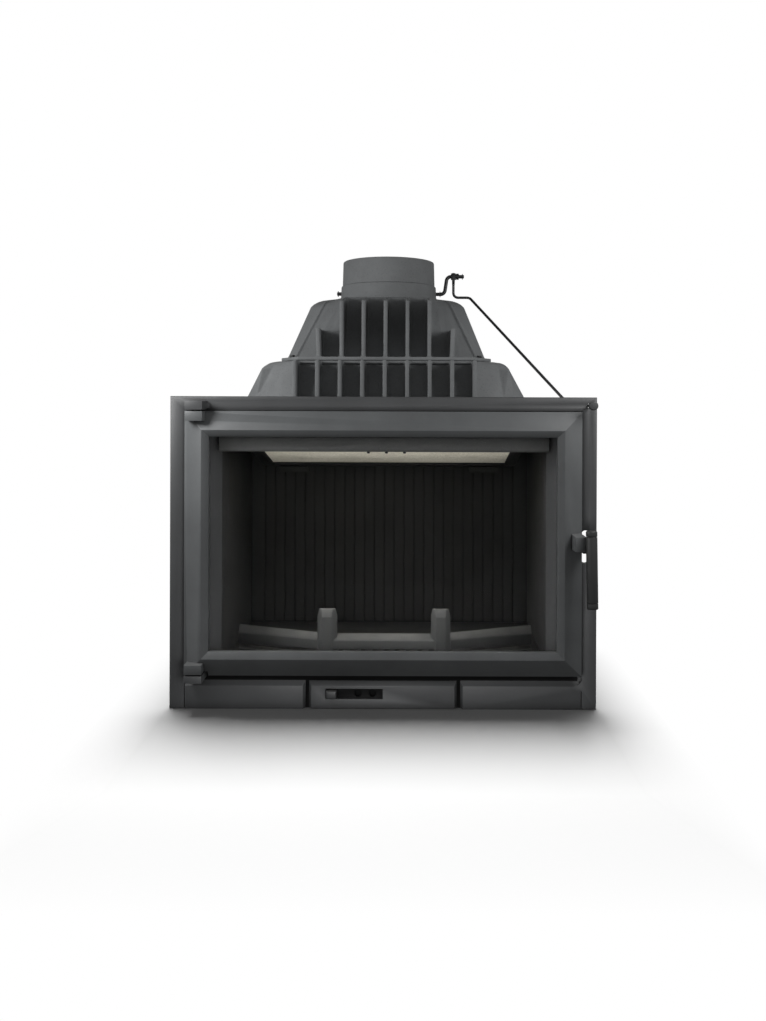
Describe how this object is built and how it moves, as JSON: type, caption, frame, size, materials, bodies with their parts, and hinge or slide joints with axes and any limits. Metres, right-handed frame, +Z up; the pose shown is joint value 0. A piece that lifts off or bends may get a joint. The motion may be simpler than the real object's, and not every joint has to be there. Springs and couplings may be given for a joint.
{
  "type": "fireplace insert",
  "caption": "Cast-iron fireplace insert with a hinged glass door, ash drawer, ribbed smoke hood and a flue damper worked by a rod.",
  "frame": {"origin": "middle of the body's footprint on the underside of the base plate", "axes": "+Z up, +X to the right as seen from the front, +Y from the door into the fireplace"},
  "size_m": [0.7, 0.4901, 0.7738],
  "materials": {
    "painted_iron": "satin dark grey stove paint",
    "hood_iron": "matt dark grey stove paint on rough casting",
    "inner_iron": "matt black-grey",
    "black_steel": "blackened steel",
    "sheet_steel": "dull zinc grey",
    "ceramic_glass": "clear ceramic glass",
    "rope": "dark glass-fibre rope",
    "vermiculite": "coarse pressed board"
  },
  "bodies": {
    "root": {"front_frame": "painted_iron", "base_plate": "painted_iron", "side_wall_left": "painted_iron", "side_wall_right": "painted_iron", "rear_wall": "painted_iron", "top_plate": "painted_iron", "hearth_plate": "inner_iron", "grate": "inner_iron", "side_liner_left": "inner_iron", "side_liner_right": "inner_iron", "back_liner": "inner_iron", "log_guard": "inner_iron", "air_wash_bar": "inner_iron", "deflector_carrier": "inner_iron", "deflector_board": "vermiculite", "lower_hood": "hood_iron", "upper_hood": "hood_iron", "hood_bolt_1": "black_steel", "hood_bolt_2": "black_steel", "hood_bolt_3": "black_steel", "hood_bolt_4": "black_steel", "collar_ring": "hood_iron", "flue_spigot": "hood_iron", "hinge_pin_top": "black_steel", "hinge_pin_bottom": "black_steel", "hinge_washer": "sheet_steel"},
    "door": {"door_frame": "painted_iron", "door_glass": "ceramic_glass", "glass_gasket": "rope", "rope_seal": "rope", "glass_clip_1": "sheet_steel", "glass_clip_2": "sheet_steel", "glass_clip_3": "sheet_steel", "glass_clip_4": "sheet_steel", "clip_screw_1": "sheet_steel", "clip_screw_2": "sheet_steel", "clip_screw_3": "sheet_steel", "clip_screw_4": "sheet_steel", "pivot_bolt": "black_steel"},
    "handle": {"handle_lever": "black_steel", "grip_sleeve": "painted_iron", "grip_cap_top": "painted_iron", "grip_cap_bottom": "painted_iron"},
    "drawer": {"drawer_front": "painted_iron", "ash_pan": "sheet_steel"},
    "air_slider": {"air_slider_plate": "sheet_steel", "air_slider_knob": "black_steel"},
    "damper": {"damper_axle": "black_steel", "damper_plate": "inner_iron", "crank_washer_inner": "black_steel", "crank_washer_outer": "black_steel", "crank_nut": "black_steel"},
    "rod": {"control_rod": "black_steel", "rod_knob": "painted_iron"}
  },
  "joints": [
    {"name": "door_swing", "type": "hinge", "parent": "root", "child": "door", "pos_m": [-0.306, -0.224, 0.27], "axis": [0, 0, -1], "range_deg": [0, 110]},
    {"name": "handle_lift", "type": "hinge", "parent": "door", "child": "handle", "pos_m": [0.3288, -0.24, 0.278], "axis": [-1, 0, 0], "range_deg": [0, 30]},
    {"name": "drawer_slide", "type": "slide", "parent": "root", "child": "drawer", "axis": [0, -1, 0], "range_m": [0, 0.3]},
    {"name": "air_slide", "type": "slide", "parent": "drawer", "child": "air_slider", "axis": [1, 0, 0], "range_m": [0, 0.075]},
    {"name": "damper_turn", "type": "hinge", "parent": "root", "child": "damper", "pos_m": [0, 0.088, 0.7136], "axis": [1, 0, 0], "range_deg": [-40, 40]},
    {"name": "rod_slide", "type": "slide", "parent": "root", "child": "rod", "axis": [0, -1, 0], "range_m": [-0.0235, 0.0235]}
  ],
  "couplings": [
    {"joint": "rod_slide", "follows": "damper_turn", "m_per_rad": 0.0325}
  ]
}
